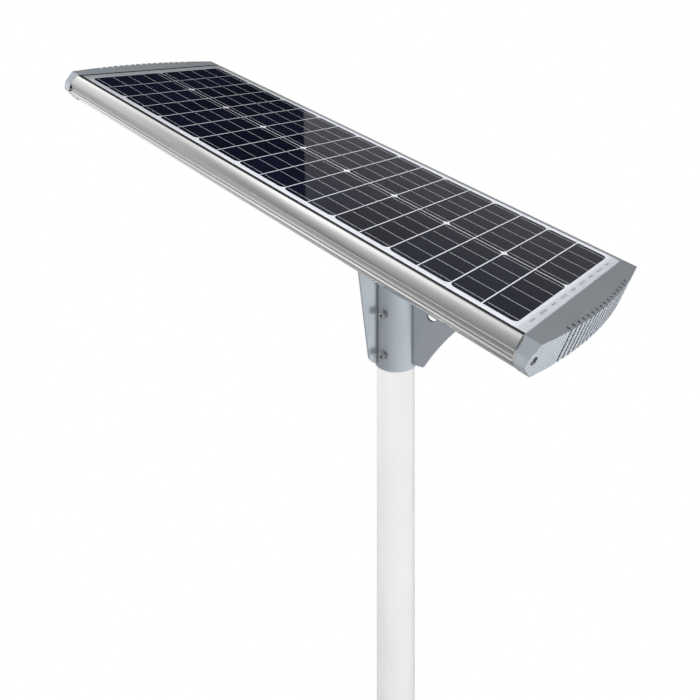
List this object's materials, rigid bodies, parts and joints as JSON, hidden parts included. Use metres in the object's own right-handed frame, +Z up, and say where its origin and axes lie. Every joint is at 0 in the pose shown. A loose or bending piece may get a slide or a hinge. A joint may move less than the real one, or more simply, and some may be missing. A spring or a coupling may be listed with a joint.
{
  "type": "solar street lamp",
  "caption": "Integrated solar street lamp: a flat solar-topped head with ribbed end caps, tilted on a ribbed bracket that clamps over the top section of a round pole.",
  "frame": {"origin": "middle of the whole lamp's footprint, level with the pole's cut lower end: the bottom centre of the bounding box. The pole's axis stands beside it, at x = 0.1502 m", "axes": "+Z up along the pole; +X level, towards the lower end of the tilted head; +Y across the head"},
  "size_m": [0.9788, 0.384, 1.0517],
  "materials": {
    "pole_paint": "satin white powder coat",
    "grey_paint": "satin grey-blue paint on cast aluminium",
    "extrusion": "satin anodised extrusion",
    "steel": "stainless steel",
    "rubber": "black rubber",
    "glass": "clear tempered glass",
    "cells": "near-black silicon cells under film",
    "backsheet": "white film",
    "lens": "clear polycarbonate",
    "board": "white solder mask",
    "white_plastic": "translucent white plastic",
    "black_plastic": "fine-grained black plastic",
    "battery_wrap": "blue shrink wrap"
  },
  "bodies": {
    "pole": {"pole_section": "pole_paint"},
    "head": {"backing_plate": "steel", "battery_lead": "rubber", "battery_pack": "battery_wrap", "battery_strap_1": "steel", "battery_strap_2": "steel", "bracket_bolt_1": "steel", "bracket_bolt_2": "steel", "bracket_bolt_3": "steel", "bracket_bolt_4": "steel", "cap_screw_high_front": "steel", "cap_screw_high_rear": "steel", "cap_screw_low_front": "steel", "cap_screw_low_rear": "steel", "charge_controller": "black_plastic", "end_cap_high": "grey_paint", "end_cap_low": "grey_paint", "end_gasket_high": "rubber", "end_gasket_low": "rubber", "housing_extrusion": "extrusion", "junction_box": "black_plastic", "led_board_a": "board", "led_board_b": "board", "led_lead_a": "rubber", "led_lead_b": "rubber", "lens_cover_a": "lens", "lens_cover_b": "lens", "lens_gasket_a": "rubber", "lens_gasket_b": "rubber", "lens_screw_a1": "steel", "lens_screw_a2": "steel", "lens_screw_a3": "steel", "lens_screw_a4": "steel", "lens_screw_b1": "steel", "lens_screw_b2": "steel", "lens_screw_b3": "steel", "lens_screw_b4": "steel", "mounting_bracket": "grey_paint", "panel_backsheet": "backsheet", "panel_gasket_front": "rubber", "panel_gasket_rear": "rubber", "panel_glass": "glass", "panel_lead": "rubber", "sensor_lead": "rubber", "sensor_lens": "white_plastic", "sensor_ring": "black_plastic", "solar_cells": "cells", "switch_bezel": "steel", "switch_lead": "rubber", "switch_nut": "steel"},
    "power_button": {"power_button": "black_plastic"},
    "washer_front_lower": {"washer_front_lower": "steel"},
    "set_screw_front_lower": {"set_screw_front_lower": "steel"},
    "washer_front_upper": {"washer_front_upper": "steel"},
    "set_screw_front_upper": {"set_screw_front_upper": "steel"},
    "washer_rear_lower": {"washer_rear_lower": "steel"},
    "set_screw_rear_lower": {"set_screw_rear_lower": "steel"},
    "washer_rear_upper": {"washer_rear_upper": "steel"},
    "set_screw_rear_upper": {"set_screw_rear_upper": "steel"}
  },
  "joints": [
    {"name": "head_swivel", "type": "hinge", "parent": "pole", "child": "head", "pos_m": [0.1502, 0, 0.6], "axis": [0, 0, 1], "continuous": true},
    {"name": "feed_front_lower", "type": "slide", "parent": "head", "child": "washer_front_lower", "axis": [0, -1, 0], "range_m": [0, 0.003]},
    {"name": "turn_front_lower", "type": "hinge", "parent": "washer_front_lower", "child": "set_screw_front_lower", "pos_m": [0.1502, -0.0351, 0.624], "axis": [0, -1, 0], "range_deg": [0, 1086]},
    {"name": "feed_front_upper", "type": "slide", "parent": "head", "child": "washer_front_upper", "axis": [0, -1, 0], "range_m": [0, 0.003]},
    {"name": "turn_front_upper", "type": "hinge", "parent": "washer_front_upper", "child": "set_screw_front_upper", "pos_m": [0.1502, -0.0351, 0.688], "axis": [0, -1, 0], "range_deg": [0, 1086]},
    {"name": "feed_rear_lower", "type": "slide", "parent": "head", "child": "washer_rear_lower", "axis": [0, 1, 0], "range_m": [0, 0.003]},
    {"name": "turn_rear_lower", "type": "hinge", "parent": "washer_rear_lower", "child": "set_screw_rear_lower", "pos_m": [0.1502, 0.0351, 0.624], "axis": [0, 1, 0], "range_deg": [0, 1086]},
    {"name": "feed_rear_upper", "type": "slide", "parent": "head", "child": "washer_rear_upper", "axis": [0, 1, 0], "range_m": [0, 0.003]},
    {"name": "turn_rear_upper", "type": "hinge", "parent": "washer_rear_upper", "child": "set_screw_rear_upper", "pos_m": [0.1502, 0.0351, 0.688], "axis": [0, 1, 0], "range_deg": [0, 1086]},
    {"name": "power_button_press", "type": "slide", "parent": "head", "child": "power_button", "axis": [0.2807, 0, 0.9598], "range_m": [0, 0.002], "stiffness_N_per_m": 120}
  ],
  "couplings": [
    {"joint": "turn_front_lower", "follows": "feed_front_lower", "rad_per_m": 6283.2},
    {"joint": "turn_front_upper", "follows": "feed_front_upper", "rad_per_m": 6283.2},
    {"joint": "turn_rear_lower", "follows": "feed_rear_lower", "rad_per_m": 6283.2},
    {"joint": "turn_rear_upper", "follows": "feed_rear_upper", "rad_per_m": 6283.2}
  ]
}
